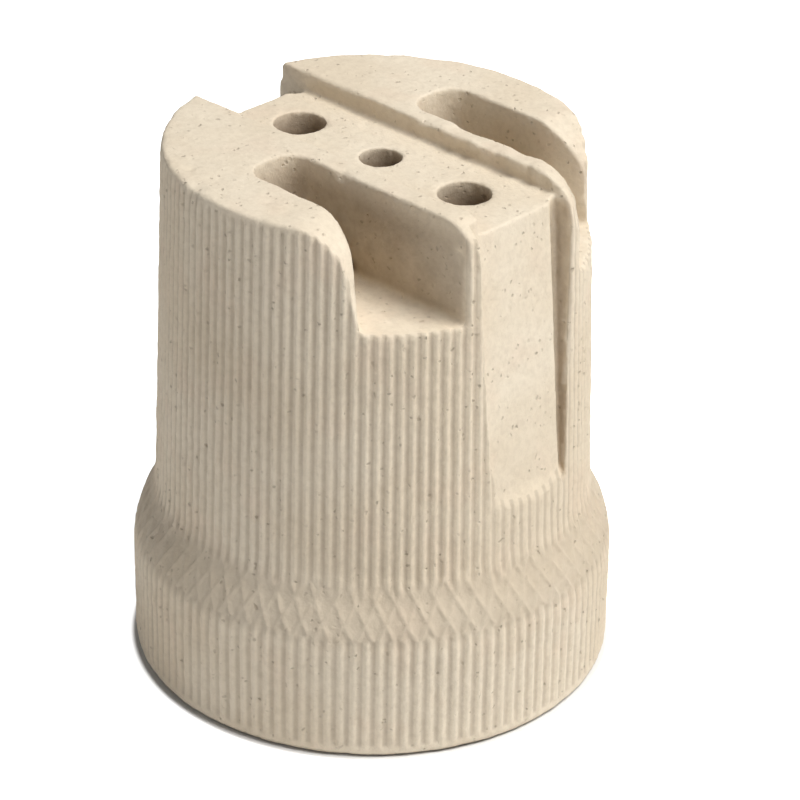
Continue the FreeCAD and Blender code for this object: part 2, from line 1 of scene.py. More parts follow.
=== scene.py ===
import math

import bpy
import numpy as np
from mathutils import Matrix, Vector


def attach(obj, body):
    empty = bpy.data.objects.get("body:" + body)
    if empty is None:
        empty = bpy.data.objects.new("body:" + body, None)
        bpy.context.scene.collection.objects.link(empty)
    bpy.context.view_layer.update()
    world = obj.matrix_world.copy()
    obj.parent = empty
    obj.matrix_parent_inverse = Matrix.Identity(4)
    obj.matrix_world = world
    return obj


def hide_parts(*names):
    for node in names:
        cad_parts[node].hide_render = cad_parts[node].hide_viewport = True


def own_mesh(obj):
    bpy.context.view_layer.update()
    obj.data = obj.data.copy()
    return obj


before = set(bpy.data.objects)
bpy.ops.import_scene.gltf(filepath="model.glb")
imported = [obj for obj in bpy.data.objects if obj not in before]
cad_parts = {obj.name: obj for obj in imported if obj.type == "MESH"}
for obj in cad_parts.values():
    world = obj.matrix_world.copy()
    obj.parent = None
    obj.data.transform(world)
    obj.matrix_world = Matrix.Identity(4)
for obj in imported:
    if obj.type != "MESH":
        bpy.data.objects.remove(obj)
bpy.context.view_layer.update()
MM = 0.001

# ------------------------------------------------------------------ sizes, in millimetres

HEIGHT = 53.4
RIM_RADIUS = 23.5
RIM_TOP = 10.8
FLARE_TOP = 19.7
WAIST_RADIUS = 21.2
TOP_RADIUS = 20.1
CHANNEL_FLOOR = 51.35
SLOT_FLOOR = 43.5
ROOF = 36.0
BORE = 14.4
MOUTH_RADIUS = 18.7
MOUTH_LOW = 8.6
MOUTH_HIGH = 13.0
CHANNEL_NEAR = 4.9
CHANNEL_FAR = 6.1
LEG_FOOT = 25.4
HOLE_X = 10.7
HOLE_Y = 0.5
HOLE_RADIUS = 2.5
VENT_RADIUS = 2.05
RIBS = 120
RIB_DEPTH = 0.24
RIM_PHASE = 1.15
BODY_PHASE = 0.1
FOOT_ROUND = 0.7
# The nominal surface lies this far inside the full size, which leaves room for its unevenness
SIDE_MARGIN = 0.075
END_MARGIN = 0.08
LATTICE_LINES = 72
LATTICE_MIDDLE = 15.3
LATTICE_LEAN = 1.3
NEAR_SLOT = 7.4
FAR_SLOT = 8.0
SLOT_WIDTH = 6.1
SLOT_END = -3.8
FIXING_X = 2.7
NEAR_FIXING = (FIXING_X, -9.5)
FAR_FIXING = (FIXING_X, 9.8)
CLAMP_X = -1.1
NEAR_CLAMP = (CLAMP_X, -NEAR_SLOT - SLOT_WIDTH / 2)
FAR_CLAMP = (CLAMP_X, FAR_SLOT + SLOT_WIDTH / 2)
FIXING_HOLE = 1.7
CLAMP_WELL = 2.0
PLATE_TOP = 45.0
PLATE_REACH = 4.7
SHANK = 1.45
SHANK_HOLE = SHANK + 0.05

# ------------------------------------------------------------------ distance fields
# Each takes an (n, 3) array of points in millimetres, and is negative inside the solid.


def meet(a, b, r):
    """Intersection of two solids, with its edge rounded to radius r."""
    u = np.maximum(a + r, 0)
    v = np.maximum(b + r, 0)
    return np.minimum(-r, np.maximum(a, b)) + np.hypot(u, v)


def join(a, b, r):
    """Union of two solids, with a fillet of radius r between them."""
    return -meet(-a, -b, r)


def carve(solid, void, r):
    """The solid without the void, with the edges between them rounded."""
    return meet(solid, -void, r)


def band(x, low, high):
    """Distance to the slab between two values."""
    return np.maximum(low - x, x - high)


def ease(x, low, high):
    """A smooth step from 0 at low to 1 at high."""
    t = np.clip((x - low) / (high - low), 0, 1)
    return t * t * (3 - 2 * t)


def lumps(p, grain, seed):
    """Smooth random unevenness from about -1 to 1, with bumps about a grain wide."""
    table = np.random.default_rng(seed).uniform(-1, 1, (32, 32, 32)).astype(np.float32)
    q = p / grain + 1000
    cell = np.floor(q).astype(np.int64)
    f = (q - cell).astype(np.float32)
    f = f * f * (3 - 2 * f)
    total = 0
    for corner in range(8):
        step = np.array([corner & 1, corner >> 1 & 1, corner >> 2 & 1])
        i, j, k = ((cell + step) & 31).T
        w = np.where(step, f, 1 - f)
        total = total + table[i, j, k] * w[:, 0] * w[:, 1] * w[:, 2]
    return total * 1.6


def outside_radius(z):
    """Radius of the moulded outside at the crests of its ribs: rim, S-shaped flare, taper."""
    half_step = (RIM_RADIUS - WAIST_RADIUS) / 2
    half_rise = (FLARE_TOP - RIM_TOP) / 2
    bend = (half_step ** 2 + half_rise ** 2) / (2 * half_step)
    up = np.clip(z - RIM_TOP, 0, half_rise)
    down = np.clip(FLARE_TOP - z, 0, half_rise)
    low = RIM_RADIUS - bend + np.sqrt(bend ** 2 - up ** 2)
    high = WAIST_RADIUS + bend - np.sqrt(bend ** 2 - down ** 2)
    taper = (TOP_RADIUS - WAIST_RADIUS) / (HEIGHT - FLARE_TOP)
    body = WAIST_RADIUS + taper * np.maximum(z - FLARE_TOP, 0)
    return np.where(z < RIM_TOP + half_rise, low, np.where(z < FLARE_TOP, high, body))


def line_family(angle, z, first, lean):
    """Thin raised lines round the flare that lean by so many degrees for each millimetre up."""
    spacing = 360 / LATTICE_LINES
    width = 0.62
    off = (angle - first - lean * (z - LATTICE_MIDDLE)) / spacing
    off = (off - np.round(off)) * spacing
    return np.exp(-(off / width) ** 2)


def ribbing(x, y, z):
    """Height of the moulded ribs, 0 in the valleys and 1 on the crests."""
    angle = np.degrees(np.arctan2(y, x))
    p = np.stack([x, y, z * 0.2], 1)
    angle = angle + 0.12 * lumps(p, 2.5, 11)
    ragged = 0.7 * lumps(np.stack([x, y, 0 * z], 1), 1.1, 12)
    rim = 0.5 + 0.5 * np.cos(np.radians((angle - RIM_PHASE) * RIBS))
    body = 0.5 + 0.5 * np.cos(np.radians((angle - BODY_PHASE) * RIBS))
    left_lines = line_family(angle, z, 1.3, -LATTICE_LEAN)
    right_lines = line_family(angle, z, 3.95, LATTICE_LEAN)
    lattice = np.maximum(left_lines, right_lines)
    to_lattice = ease(z, 12.6, 13.1)
    to_body = ease(z, 16.3 + ragged, 17.7 + ragged)
    between = 0.15 + 0.85 * lattice
    # The ribs are worn faint below the front recess
    faint = 0.5 * ease(x, 15, 18) * ease(-np.abs(y), -6.5, -4.5) * ease(z, 16, 20)
    body = body + (0.75 - body) * faint
    waves = rim * (1 - to_lattice) + to_lattice * (1 - to_body) * between + to_body * body
    plain = np.maximum(1 - ease(z, 0.7, 1.5), ease(z, HEIGHT - 1.0, HEIGHT - 0.3))
    return waves * (1 - plain) + 0.6 * plain


def slot_void(x, y, z, inner, side):
    """A wire slot. side is -1 for the slot at -Y and 1 for the slot at +Y.
    From curve_start on, its outer wall curves away from the slot."""
    curve_start = 6.5
    curve_radius = 11.7
    end_corner = 2.4
    floor_corner = 0.6
    across = y * side
    straight = across - inner - SLOT_WIDTH
    curve = curve_radius - np.hypot(x - curve_start, straight - curve_radius)
    outer = np.where(x < curve_start, straight, curve)
    end = SLOT_END - x
    inner_part = meet(inner - across, end, end_corner)
    outer_part = meet(outer, end, end_corner)
    plan = np.maximum(inner_part, outer_part)
    return meet(plan, SLOT_FLOOR - z, floor_corner)


def leg_void(x, y, z, side, top_reach, near, far):
    """The sloping recess for a bracket's leg, at +X if side is 1. near and far are the places of
    its walls at the foot and at the top. A groove runs down the corner by the far wall."""
    foot_reach = 20.1
    run_out = 0.17
    groove_depth = 0.8
    slope = (foot_reach - top_reach) / (CHANNEL_FLOOR - LEG_FOOT)
    plane = top_reach + slope * (CHANNEL_FLOOR - z)
    plane = plane + run_out * np.maximum(LEG_FOOT - z, 0) ** 2
    up = np.clip((z - 24.5) / 26, 0, 1.1)
    near_wall = -(near[0] + (near[1] - near[0]) * up)
    far_wall = far[0] + (far[1] - far[0]) * up
    groove_edge = far_wall - 1.0 - 0.8 * up
    plane = plane - groove_depth * ease(y, groove_edge, far_wall - 0.5)
    face = (plane - x * side) * 0.9
    walls = np.maximum(near_wall - y, y - far_wall)
    return meet(face, walls, 0.25)


def rolled_end(x, z, middle, low, reach, rise):
    """What stays of a land whose top rolls down: an ellipse from its middle to its reach."""
    u = (x - middle) / reach
    v = (z - low) / rise
    size = np.hypot(np.maximum(u, 0), np.maximum(v, 0))
    curve = (size - 1) * min(reach, rise) - 2 * np.maximum(-u, 0)
    return np.where(v < 0, (u - 1) * reach + 0.3 * v * rise, curve)


# Flaws of the moulding: x, y, z, size, and height above the surface or, below zero, depth
FLAWS = [
    (18.2, 3.6, 50.9, 0.40, -0.35),
    (18.6, 0.6, 50.3, 0.45, -0.30),
    (-7.4, -16.8, 53.4, 0.45, -0.30),
    (-4.2, -19.2, 53.3, 0.80, -0.40),
    (2.6, -7.2, 53.0, 0.55, -0.35),
    (3.5, -7.3, 53.2, 0.40, -0.25),
    (4.4, 6.0, 52.6, 0.90, 0.22),
    (6.4, 6.1, 52.4, 0.60, 0.20),
    (11.8, 6.0, 52.3, 1.00, 0.22),
    (14.5, 6.0, 51.9, 0.80, 0.20),
    (16.9, 5.9, 51.4, 0.70, 0.25),
    (9.2, 6.2, 53.2, 0.50, -0.25),
    (13.2, 6.3, 52.9, 0.45, -0.20),
    (17.8, 5.7, 50.3, 0.40, -0.35),
    (0.2, 6.2, 53.3, 0.40, -0.18),
    (-12.5, -5.0, 53.2, 0.50, -0.22),
    (6.9, -4.9, 53.2, 0.45, -0.20),
    (12.8, -5.0, 53.0, 0.60, -0.22),
    (17.5, -7.6, 50.4, 0.60, -0.28),
    (19.7, -12.2, 38.0, 0.40, -0.25),
    (20.6, 4.5, 30.0, 0.45, -0.25),
]


def flaws(p):
    """What the flaws add to the distance field."""
    total = 0
    for x, y, z, grain, height in FLAWS:
        away = (p[:, 0] - x) ** 2 + (p[:, 1] - y) ** 2 + (p[:, 2] - z) ** 2
        total = total - height * np.exp(-away / grain ** 2)
    return total


def circles(x, y, places, radius):
    """Distance to the nearest of some round holes."""
    return np.minimum.reduce([np.hypot(x - a, y - b) for a, b in places]) - radius


def land_ends(x, y, z):
    """What is rolled off the ends of the four lands: the two horns, the near land, the ridge."""
    along = x - 0.3 * (np.abs(y) - 13.5)
    near_roll = rolled_end(along, z, middle=5.3, low=47.4, reach=6.2, rise=6.0)
    far_roll = rolled_end(along, z, middle=6.0, low=46.4, reach=5.9, rise=7.0)
    land_roll = rolled_end(x, z, middle=15.2, low=48.7, reach=4.7, rise=4.7)
    ridge_along = x - 0.7 * np.clip(8.05 - y, 0, 2.6)
    ridge_roll = rolled_end(ridge_along, z, middle=11.2, low=49.9, reach=6.5, rise=3.5)
    near_horn = np.maximum(-near_roll, y + 10.45)
    far_horn = np.maximum(-far_roll, 11.0 - y)
    land = np.maximum(-land_roll, np.maximum(y + 2, -9.5 - y))
    ridge = np.maximum(-ridge_roll, np.maximum(2 - y, y - 10))
    ends = np.minimum(np.minimum(near_horn, far_horn), np.minimum(land, ridge))
    return np.maximum(ends, 43.6 - z)


def round_holes(x, y, z):
    """The bracket's two holes and the vent between them."""
    bracket = circles(x, y, [(-HOLE_X, HOLE_Y), (HOLE_X, HOLE_Y)], HOLE_RADIUS)
    vent = circles(x, y, [(0, HOLE_Y)], VENT_RADIUS)
    return np.maximum(np.minimum(bracket, vent), 34 - z)


def screw_holes(x, y, z):
    """Holes from the bore for the fixing screws, and wells for the clamp screws' tips."""
    well_depth = 3.4
    fixings = circles(x, y, [NEAR_FIXING, FAR_FIXING], FIXING_HOLE)
    wells = circles(x, y, [NEAR_CLAMP, FAR_CLAMP], CLAMP_WELL)
    fixings = np.maximum(fixings, band(z, 34, 44))
    wells = np.maximum(wells, band(z, SLOT_FLOOR - well_depth, 44))
    return np.minimum(fixings, wells)


def ceramic(p):
    """The moulded holder: ribbed outside, bore, channel, slots, recesses, rolled ends and holes."""
    x, y, z = p.T
    r = np.hypot(x, y)
    broad = lumps(p, 6.0, 1)
    fine = lumps(p, 1.3, 2)
    tiny = lumps(p, 0.45, 3)
    wear = 0.5 + 0.5 * lumps(p, 2.2, 4)

    ribs = ribbing(x, y, z)
    depth = RIB_DEPTH * (0.95 + 0.15 * broad)
    outer = (r - outside_radius(z) + depth * (1 - ribs) + SIDE_MARGIN) * 0.98
    body = meet(outer, END_MARGIN - z, FOOT_ROUND)
    ridge_wear = 0.3 * ease(x, -6, 3) * ease(y, 5.4, 6.6) * ease(-y, -9.4, -8.2)
    top = z - HEIGHT + END_MARGIN + ridge_wear * (0.5 + 0.5 * lumps(p, 1.9, 5))
    body = meet(body, top, 0.35 + 0.25 * wear)

    inner_radius = np.interp(z, [MOUTH_LOW, MOUTH_HIGH], [MOUTH_RADIUS, BORE])
    inner_radius = inner_radius.astype(np.float32)
    cavity = np.maximum((r - inner_radius) * 0.85, z - ROOF)
    body = carve(body, cavity, 0.5)

    walls = np.maximum(-CHANNEL_NEAR - y, y - CHANNEL_FAR)
    channel = meet(walls, CHANNEL_FLOOR - z, 0.35)
    body = carve(body, channel, 0.22 + 0.3 * wear)

    near_slot = slot_void(x, y, z, NEAR_SLOT, -1)
    far_slot = slot_void(x, y, z, FAR_SLOT, 1)
    body = carve(body, np.minimum(near_slot, far_slot), 0.18 + 0.22 * wear)

    front = leg_void(x, y, z, 1, top_reach=17.6, near=(5.0, 6.2), far=(5.15, 6.0))
    back = leg_void(x, y, z, -1, top_reach=16.4, near=(4.7, 4.9), far=(5.4, 6.0))
    body = carve(body, np.minimum(front, back), 0.2)

    body = carve(body, land_ends(x, y, z), 0.12)
    body = carve(body, round_holes(x, y, z), 0.15)
    body = carve(body, screw_holes(x, y, z), 0.15)
    streaks = lumps(np.stack([x * 0.3, y, z * 0.5], 1), 0.5, 6)
    streaks = streaks * ease(-z, -45.0, -44.0) * ease(z, 42.5, 43.2)
    return body + flaws(p) + 0.03 * fine + 0.02 * tiny + 0.05 * streaks


# ------------------------------------------------------------------ metal pieces
# Each returns the distance field of one piece of the metalwork.

PITCH = 3.629
THREAD_RADIUS = 12.73
THREAD_SWING = 0.51
SHELL_FOOT = 14.3
SHELL_TOP = ROOF - 0.02
NECK = 13.2
SHEET = 0.3
LEAF_FOOT_Z = 35.75
LEAF_TIP_Z = 31.25
LEAF_HALF = 0.22


def screw_shell(p):
    """The rolled sheet: a right-handed round thread, a plain neck, a notch and a riveted foot."""
    x, y, z = p.T
    r = np.hypot(x, y)
    turns = (z - SHELL_FOOT) / PITCH - np.arctan2(y, x) / (2 * math.pi)
    wave = np.cos(turns * 2 * math.pi)
    wave = wave / np.sqrt(0.55 + 0.45 * wave * wave)
    thread = THREAD_RADIUS + THREAD_SWING * wave
    lip = ease(z, SHELL_FOOT + 0.2, SHELL_FOOT + 1.4)
    thread = thread * lip + NECK * (1 - lip)
    to_neck = ease(z, 27.2, 28.8)
    middle = thread * (1 - to_neck) + NECK * to_neck + SHEET / 2
    wall = np.abs(r - middle) * 0.85 - SHEET / 2
    sheet = np.maximum(wall, band(z, SHELL_FOOT, SHELL_TOP))

    notch_half = 5.5
    notch = np.maximum(np.maximum(np.abs(x - FIXING_X) - notch_half, y), ROOF - 3.4 - z)
    sheet = carve(sheet, notch, 0.05)

    foot_half = 3.2
    plan = np.maximum(np.abs(x - FIXING_X) - foot_half, 7.0 - y)
    foot = np.maximum(band(z, ROOF - SHEET, SHELL_TOP), plan)
    foot = np.maximum(foot, r - NECK - SHEET / 2)
    foot = np.maximum(foot, -circles(x, y, [FAR_FIXING], SHANK_HOLE))
    return join(sheet, foot, 0.15)


def contact_leaf(p):
    """The bent strip of the centre contact, foot on the roof and flat tip over the axis."""
    reach = math.hypot(*NEAR_FIXING)
    ux = NEAR_FIXING[0] / reach
    uy = NEAR_FIXING[1] / reach
    s = p[:, 0] * ux + p[:, 1] * uy
    t = p[:, 0] * uy - p[:, 1] * ux
    z = p[:, 2]
    bends = [
        (reach + 2.5, LEAF_FOOT_Z),
        (reach - 2.7, LEAF_FOOT_Z),
        (2.3, LEAF_TIP_Z),
        (-2.1, LEAF_TIP_Z),
    ]
    strip = np.full(len(s), 99.0)
    for (s0, z0), (s1, z1) in zip(bends, bends[1:]):
        ds = s1 - s0
        dz = z1 - z0
        f = np.clip(((s - s0) * ds + (z - z0) * dz) / (ds * ds + dz * dz), 0, 1)
        strip = np.minimum(strip, np.hypot(s - s0 - f * ds, z - z0 - f * dz))
    width_half = 2.45
    ends = np.maximum(s - reach - 2.6, -2.25 - s)
    plan = meet(np.abs(t) - width_half, ends, 0.9)
    leaf = meet(strip - LEAF_HALF, plan, 0.08)
    screw_hole = np.hypot(s - reach, t) - SHANK - 0.05
    rivet_hole = np.hypot(s, t) - 1.05
    leaf = carve(leaf, screw_hole, 0.06)
    return carve(leaf, rivet_hole, 0.06)


def contact_rivet(p):
    """The contact button: domed head, shank through the leaf, tail spread over it."""
    dome_centre = 33.52
    dome_radius = 3.60
    head_radius = 2.28
    shank_radius = 1.0
    tail_radius = 1.6
    x, y, z = p.T
    r = np.hypot(x, y)
    dome = np.hypot(r, z - dome_centre) - dome_radius
    head = meet(dome, np.maximum(r - head_radius, z - 31.0), 0.10)
    shank = np.maximum(r - shank_radius, band(z, 30.8, 31.7))
    tail = np.maximum(meet(r - tail_radius, z - 31.93, 0.3), 31.5 - z)
    return np.minimum(join(head, shank, 0.05), tail)


def terminal_plate(side, inner, fixing, clamp):
    """A threaded plate that fills the closed end of a slot's floor."""
    def plate(p):
        x, y, z = p.T
        across = y * side
        walls = np.maximum(inner + 0.25 - across, across - inner - SLOT_WIDTH + 0.25)
        plan = meet(walls, SLOT_END + 0.25 - x, 2.3)
        plan = meet(plan, x - PLATE_REACH, 0.25)
        body = meet(plan, band(z, SLOT_FLOOR, PLATE_TOP), 0.14)
        return carve(body, circles(x, y, [fixing, clamp], SHANK_HOLE), 0.12)
    return plate


def screw(seat, head, length, up):
    """A slotted cheese-head screw on the Z axis, its head above the seat if up is 1."""
    head_height = 1.8
    pitch = 0.5
    thread_depth = 0.24
    drive_half = 0.4
    drive_floor = 0.9

    def body(p):
        x, y, z = p.T
        r = np.hypot(x, y)
        w = (z - seat) * up
        top = meet(r - head, band(w, 0, head_height), 0.22)
        turns = z / pitch - np.arctan2(y, x) / (2 * math.pi)
        wave = np.abs(np.mod(turns, 1) - 0.5) * 2
        shank = (r - SHANK + thread_depth * wave) * 0.75
        tip = (r - w - length - SHANK + 0.45) * 0.7
        shank = np.maximum(np.maximum(shank, tip), np.maximum(-w - length, w - 0.3))
        drive = np.maximum(np.abs(y) - drive_half, drive_floor - w)
        return carve(np.minimum(top, shank), drive, 0.07)
    return body


def washer(p):
    """A clamp washer, a little wavy on top."""
    x, y, z = p.T
    r = np.hypot(x, y)
    rise = 0.06 * np.cos(np.arctan2(y, x) * 2)
    ring = meet(r - 2.6, band(z, PLATE_TOP, PLATE_TOP + 0.76 + rise * 0.5), 0.16)
    return carve(ring, r - SHANK - 0.05, 0.1)


# ------------------------------------------------------------------ meshes from distance fields

# Grid points are worked out in blocks of this many a side
BLOCK = 4


def sample(solid, low, high, cell):
    """Values of a distance field on a grid. Away from the surface only their sign is kept."""
    blocks = np.ceil((np.asarray(high) - low) / (cell * BLOCK)).astype(int) + 1
    index = np.stack(np.meshgrid(*[np.arange(n) for n in blocks], indexing="ij"), -1)
    index = index.reshape(-1, 3)
    centres = low + (index * BLOCK + (BLOCK - 1) / 2) * cell
    coarse = np.concatenate([solid(c) for c in np.array_split(centres.astype(np.float32), 8)])
    reach = 0.5 * np.linalg.norm(cell * BLOCK) + cell.max() * 1.2 + 0.3
    signs = np.where(coarse < 0, -1, 1).astype(np.float32).reshape(blocks)
    field = signs.repeat(BLOCK, 0).repeat(BLOCK, 1).repeat(BLOCK, 2)
    close = index[np.abs(coarse) < reach]
    steps = np.stack(np.meshgrid(*[np.arange(BLOCK)] * 3, indexing="ij"), -1).reshape(-1, 3)
    for part in np.array_split(close, max(1, len(close) // 6000)):
        nodes = (part[:, None, :] * BLOCK + steps).reshape(-1, 3)
        field[tuple(nodes.T)] = solid((low + nodes * cell).astype(np.float32))
    return field


def surface(field):
    """Points, in cells, and outward quads where a sampled field changes sign."""
    inside = field < 0
    cells = []
    crossings = []
    quads = []
    size = np.array(field.shape)
    stride = np.array([size[1] * size[2], size[2], 1])
    for axis in range(3):
        lower = [slice(None)] * 3
        upper = [slice(None)] * 3
        lower[axis] = slice(None, -1)
        upper[axis] = slice(1, None)
        change = inside[tuple(lower)] != inside[tuple(upper)]
        node = np.argwhere(change)
        side = (axis + 1) % 3
        turn = (axis + 2) % 3
        node = node[(node[:, side] > 0) & (node[:, turn] > 0)]
        here = node @ stride
        start = field.reshape(-1)[here]
        stop = field.reshape(-1)[here + stride[axis]]
        at = node.astype(np.float32)
        at[:, axis] += start / (start - stop)
        corner = here - stride[side] - stride[turn]
        around = np.stack([corner, here - stride[turn], here, here - stride[side]], 1)
        outward = start < 0
        quads.append(np.where(outward[:, None], around, around[:, ::-1]))
        for column in range(4):
            cells.append(around[:, column])
            crossings.append(at)
    ids, place = np.unique(np.concatenate(cells), return_inverse=True)
    crossings = np.concatenate(crossings)
    count = np.bincount(place)
    points = np.stack([np.bincount(place, crossings[:, k]) / count for k in range(3)], 1)
    return points, np.searchsorted(ids, np.concatenate(quads))


def settle(points, solid, cell):
    """Moves points onto the surface of a solid, down the slope of its distance field."""
    probe = 0.2 * float(cell.min())
    axes = np.eye(3, dtype=np.float32)
    for _ in range(2):
        for part in np.array_split(np.arange(len(points)), max(1, len(points) // 200000)):
            p = points[part]
            here = solid(p)
            slope = np.stack([solid(p + probe * axes[k]) for k in range(3)], 1)
            slope = (slope - here[:, None]) / probe
            length = np.maximum((slope ** 2).sum(1), 0.25)
            move = -here[:, None] * slope / length[:, None]
            points[part] = p + np.clip(move, -0.4 * cell, 0.4 * cell)


def skin(solid, low, high, cell):
    """Vertices and quads of the surface of a solid, between two corners."""
    low = np.asarray(low, np.float32)
    cell = np.asarray(cell, np.float32)
    points, quads = surface(sample(solid, low, high, cell))
    points = (low + points * cell).astype(np.float32)
    settle(points, solid, cell)
    return points, quads


def mesh_piece(name, points, quads, most_triangles):
    """A smooth-shaded object, thinned to at most so many triangles."""
    mesh = bpy.data.meshes.new(name)
    mesh.vertices.add(len(points))
    mesh.vertices.foreach_set("co", (points * MM).astype(np.float32).ravel())
    mesh.loops.add(quads.size)
    mesh.loops.foreach_set("vertex_index", quads.astype(np.int32).ravel())
    mesh.polygons.add(len(quads))
    mesh.polygons.foreach_set("loop_start", np.arange(0, quads.size, 4, dtype=np.int32))
    mesh.update(calc_edges=True)
    mesh.validate()
    piece = bpy.data.objects.new(name, mesh)
    bpy.context.scene.collection.objects.link(piece)
    if 2 * len(quads) > most_triangles:
        thin = piece.modifiers.new("Thin", "DECIMATE")
        thin.ratio = most_triangles / (2 * len(quads))
        thin.use_collapse_triangulate = True
        graph = bpy.context.evaluated_depsgraph_get()
        thinned = bpy.data.meshes.new_from_object(piece.evaluated_get(graph))
        piece.modifiers.clear()
        piece.data = thinned
    piece.data.shade_smooth()
    return piece


# ------------------------------------------------------------------ materials
# Places and heights in the materials are in metres.

def socket(node, *names):
    """The first of these inputs that the node has."""
    for name in names:
        if name in node.inputs:
            return node.inputs[name]
    raise KeyError(names)


class Nodes:
    """Short ways to add and link the nodes of one material."""

    def __init__(self, name):
        self.material = bpy.data.materials.new(name)
        self.material.use_nodes = True
        self.tree = self.material.node_tree
        self.shader = self.tree.nodes["Principled BSDF"]
        self.place = self.add("ShaderNodeTexCoord").outputs["Object"]

    def add(self, kind, **settings):
        """A new node of one kind, with its settings."""
        node = self.tree.nodes.new(kind)
        for key, value in settings.items():
            setattr(node, key, value)
        return node

    def link(self, source, target):
        self.tree.links.new(source, target)

    def noise(self, scale, detail=2.0, roughness=0.5, place=None):
        """Cloudy noise from 0 to 1."""
        node = self.add("ShaderNodeTexNoise")
        node.inputs["Scale"].default_value = scale
        node.inputs["Detail"].default_value = detail
        node.inputs["Roughness"].default_value = roughness
        self.link(place or self.place, node.inputs["Vector"])
        return node.outputs["Fac"]

    def spots(self, scale, place=None):
        """Distance to the nearest of many scattered points."""
        node = self.add("ShaderNodeTexVoronoi")
        node.inputs["Scale"].default_value = scale
        self.link(place or self.place, node.inputs["Vector"])
        return node.outputs["Distance"], node.outputs["Color"]

    def span(self, value, low, high, to_low=0.0, to_high=1.0):
        """A smooth step from to_low at low to to_high at high."""
        node = self.add("ShaderNodeMapRange")
        node.interpolation_type = "SMOOTHSTEP"
        self.link(value, node.inputs["Value"])
        node.inputs["From Min"].default_value = low
        node.inputs["From Max"].default_value = high
        node.inputs["To Min"].default_value = to_low
        node.inputs["To Max"].default_value = to_high
        return node.outputs["Result"]

    def math(self, operation, a, b=0.5):
        """One sum of arithmetic on values or links."""
        node = self.add("ShaderNodeMath", operation=operation)
        for value, target in ((a, node.inputs[0]), (b, node.inputs[1])):
            if isinstance(value, (int, float)):
                target.default_value = value
            else:
                self.link(value, target)
        return node.outputs[0]

    def times(self, *values):
        """Product of two or more values."""
        product = values[0]
        for value in values[1:]:
            product = self.math("MULTIPLY", product, value)
        return product

    def fade(self, value, low, high):
        """A smooth step from 1 at low to 0 at high."""
        return self.span(value, low, high, 1.0, 0.0)

    def distance(self, x, y):
        """Distance from the upright axis."""
        return self.math("SQRT", self.math("ADD", self.times(x, x), self.times(y, y)))

    def blend(self, share, first, second):
        """The first colour, with a share of the second over it."""
        node = self.add("ShaderNodeMix", data_type="RGBA", blend_type="MIX")
        colours = [s for s in node.inputs if s.type == "RGBA"]
        targets = (node.inputs["Factor"], colours[0], colours[1])
        for value, target in zip((share, first, second), targets):
            if isinstance(value, tuple):
                target.default_value = (*value, 1.0)
            elif isinstance(value, float):
                target.default_value = value
            else:
                self.link(value, target)
        return [s for s in node.outputs if s.type == "RGBA"][0]

    def bump(self, height, distance, strength=1.0, normal=None):
        """A normal tilted by a height, on top of another normal if one is given."""
        node = self.add("ShaderNodeBump")
        node.inputs["Distance"].default_value = distance
        node.inputs["Strength"].default_value = strength
        self.link(height, node.inputs["Height"])
        if normal is not None:
            self.link(normal, node.inputs["Normal"])
        return node.outputs["Normal"]


def rib_dust_and_shade(m, z, out, angle):
    """Share of dust and painted shade: both lie in the valleys of the rim's ribs and of the body's.
    """
    taper = (WAIST_RADIUS - TOP_RADIUS) / (HEIGHT - FLARE_TOP)
    crest = WAIST_RADIUS + taper * FLARE_TOP
    straightened = m.math("ADD", m.times(z, taper), out)
    on_rim = m.times(m.span(z, 0.0010, 0.0014), m.fade(z, 0.0125, 0.0130))
    on_body = m.times(m.span(z, 0.0168, 0.0176), m.fade(z, 0.0524, 0.0529))
    regions = [
        (RIM_PHASE, on_rim, m.span(out, 0.0226, 0.0229)),
        (BODY_PHASE, on_body, m.span(straightened, (crest - 0.50) * MM, (crest - 0.42) * MM)),
    ]
    valley_shade_and_dust = 0.0
    for phase, heights, outside in regions:
        turned = m.math("SUBTRACT", m.times(angle, RIBS), math.radians(phase * RIBS))
        wave = m.math("COSINE", turned)
        valley = m.fade(wave, -1.0, 0.35)
        valley_shade_and_dust = m.math("ADD", m.times(valley, heights, outside), valley_shade_and_dust)
    return m.times(valley_shade_and_dust, m.span(m.noise(350, 2.0), 0.3, 0.7, 0.7, 1.0))


def flare_darkening(m, z, out):
    """Share of darkening on the flare, among the crossed ribs."""
    heights = m.times(m.span(z, 0.0116, 0.0132), m.fade(z, 0.0165, 0.0185))
    return m.times(heights, m.span(out, 0.0208, 0.0212))


def cavity_painted_shade(m, x, y, z):
    """Share of painted shade in deep places, apart from the open end of the near slot's floor."""
    shelter = m.add("ShaderNodeAmbientOcclusion", samples=8, only_local=True)
    shelter.inputs["Distance"].default_value = 0.006
    deep = m.fade(shelter.outputs["AO"], 0.15, 0.72)
    mouth = m.times(m.span(z, 0.0430, 0.0433), m.fade(z, 0.0437, 0.0441))
    mouth = m.times(mouth, m.span(x, 0.005, 0.010), m.fade(y, -0.004, -0.003))
    return m.times(deep, m.math("SUBTRACT", 1.0, mouth))


def slot_painted_shade(m, y, z, out):
    """Share of painted shade on the slots' walls, with more in the near slot."""
    away = m.math("ABSOLUTE", y)
    across = m.times(m.span(away, 0.0072, 0.0075), m.fade(away, 0.0138, 0.0145))
    heights = m.times(m.span(z, 0.0437, 0.0445), m.fade(z, 0.0505, 0.0530))
    strength = m.span(y, -0.002, 0.002, 0.48, 0.25)
    return m.times(across, heights, m.fade(out, 0.0192, 0.0198), strength)


def hole_painted_shade(m, x, y, z):
    """Share of painted shade in the bracket holes and the vent. Nothing limits it towards -X, so it
    also darkens the upper part of the back leg recess."""
    away = m.math("ABSOLUTE", y)
    plan = m.times(m.fade(away, 0.0032, 0.0034), m.fade(x, 0.0138, 0.0140))
    heights = m.times(m.span(z, 0.0370, 0.0380), m.span(z, 0.0485, 0.0502, 0.42, 0.0))
    return m.times(plan, heights)


